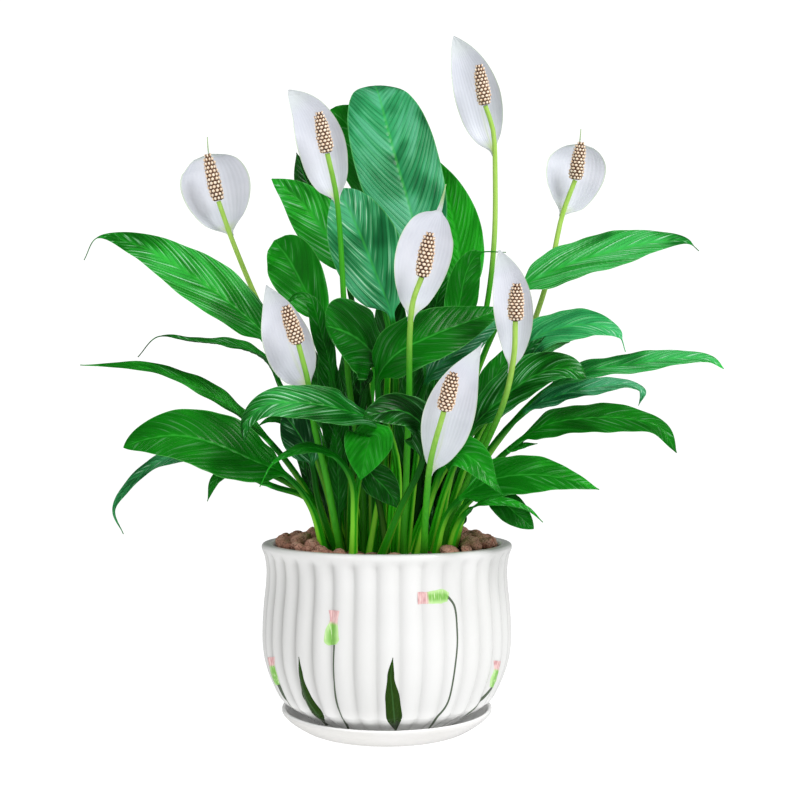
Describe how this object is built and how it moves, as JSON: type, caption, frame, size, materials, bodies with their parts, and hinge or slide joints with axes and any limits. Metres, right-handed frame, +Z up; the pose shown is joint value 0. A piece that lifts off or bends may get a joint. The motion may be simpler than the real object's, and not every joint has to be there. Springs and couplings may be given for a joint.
{
  "type": "potted peace lily",
  "caption": "Peace lily with broad arching leaves and white hooded blooms, growing in a fluted round ceramic pot that stands on a matching saucer.",
  "frame": {"origin": "middle of the flat underside of the saucer, on the axis of the pot", "axes": "+Z up along the axis of the pot, -Y towards the side that the blooms face, +X to the right as seen from there"},
  "size_m": [0.477, 0.3237, 0.5331],
  "materials": {
    "saucer_glaze": "glossy white glazed ceramic",
    "pot_glaze": "glossy white glazed ceramic with painted pink buds and green leaves",
    "clay_pebbles": "dry reddish brown clay pebbles over potting mix",
    "leaf": "glossy dark green leaf with sunken veins",
    "bloom_stem": "smooth yellow-green stem",
    "spadix": "cream and peach bead-like florets",
    "spathe": "soft white petal with faint veins"
  },
  "bodies": {
    "root": {"saucer": "saucer_glaze", "pot": "pot_glaze", "leaf_top": "leaf", "leaf_top_right": "leaf", "leaf_upper_left": "leaf", "leaf_upper_mid": "leaf", "leaf_right_upright": "leaf", "leaf_left_round": "leaf", "leaf_left_high": "leaf", "leaf_left_thin_high": "leaf", "leaf_left_mid": "leaf", "leaf_left_broad": "leaf", "leaf_front_arch": "leaf", "leaf_front_dark": "leaf", "leaf_heart": "leaf", "leaf_mid_right": "leaf", "leaf_right_high": "leaf", "leaf_right_second": "leaf", "leaf_right_curled": "leaf", "leaf_right_long": "leaf", "leaf_right_low": "leaf", "leaf_right_lowest": "leaf", "leaf_front_fold": "leaf", "leaf_right_dark": "leaf", "tuft_back_left": "leaf", "tuft_left_low": "leaf", "tuft_left_inner": "leaf", "tuft_left_arch": "leaf", "tuft_front_left": "leaf", "tuft_centre_dark": "leaf", "tuft_mid_right": "leaf", "tuft_right_front": "leaf", "tuft_back_middle": "leaf", "tuft_back_left_side": "leaf", "tuft_back_right_side": "leaf", "bloom_left_high_stem": "bloom_stem", "bloom_left_high_spadix": "spadix", "bloom_left_high_spathe": "spathe", "bloom_upper_left_stem": "bloom_stem", "bloom_upper_left_spadix": "spadix", "bloom_upper_left_spathe": "spathe", "bloom_top_right_stem": "bloom_stem", "bloom_top_right_spadix": "spadix", "bloom_top_right_spathe": "spathe", "bloom_right_high_stem": "bloom_stem", "bloom_right_high_spadix": "spadix", "bloom_right_high_spathe": "spathe", "bloom_centre_stem": "bloom_stem", "bloom_centre_spadix": "spadix", "bloom_centre_spathe": "spathe", "bloom_right_mid_stem": "bloom_stem", "bloom_right_mid_spadix": "spadix", "bloom_right_mid_spathe": "spathe", "bloom_front_stem": "bloom_stem", "bloom_front_spadix": "spadix", "bloom_front_spathe": "spathe", "bloom_left_mid_stem": "bloom_stem", "bloom_left_mid_spadix": "spadix", "bloom_left_mid_spathe": "spathe", "soil": "clay_pebbles"}
  },
  "joints": []
}
